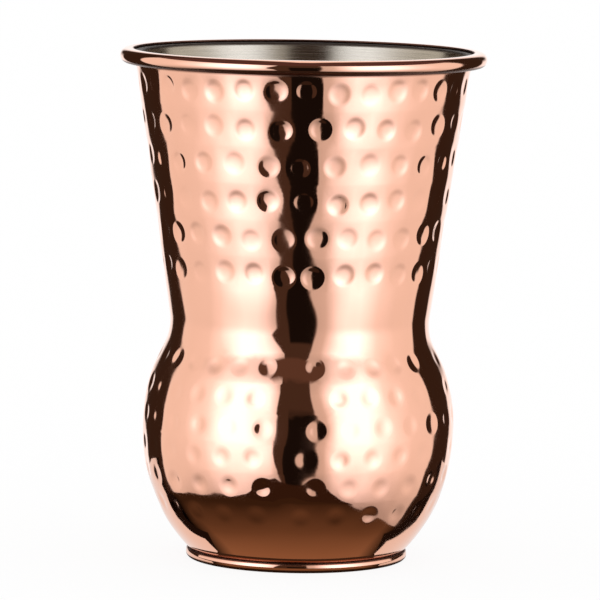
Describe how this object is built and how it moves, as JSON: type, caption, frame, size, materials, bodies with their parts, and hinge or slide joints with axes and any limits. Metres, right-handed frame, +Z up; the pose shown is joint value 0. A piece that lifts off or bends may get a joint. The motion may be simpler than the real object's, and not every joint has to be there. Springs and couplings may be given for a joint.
{
  "type": "drinking tumbler",
  "caption": "Handleless waisted drinking tumbler: a hammered copper wall over a smooth steel cup, with a rolled rim bead and a rolled foot that it stands on.",
  "frame": {"origin": "centre of the foot's underside, on the surface that the tumbler stands on", "axes": "+Z up along the tumbler's axis, -Y towards the side that the picture shows"},
  "size_m": [0.086, 0.086, 0.12],
  "materials": {
    "hammered_copper": "polished copper with round hammer marks",
    "polished_copper": "polished copper",
    "brushed_steel": "stainless steel brushed round the axis"
  },
  "bodies": {
    "root": {"outer_shell": "hammered_copper", "rim_bead": "polished_copper", "foot_ring": "polished_copper", "base_disc": "polished_copper", "inner_liner": "brushed_steel"}
  },
  "joints": []
}
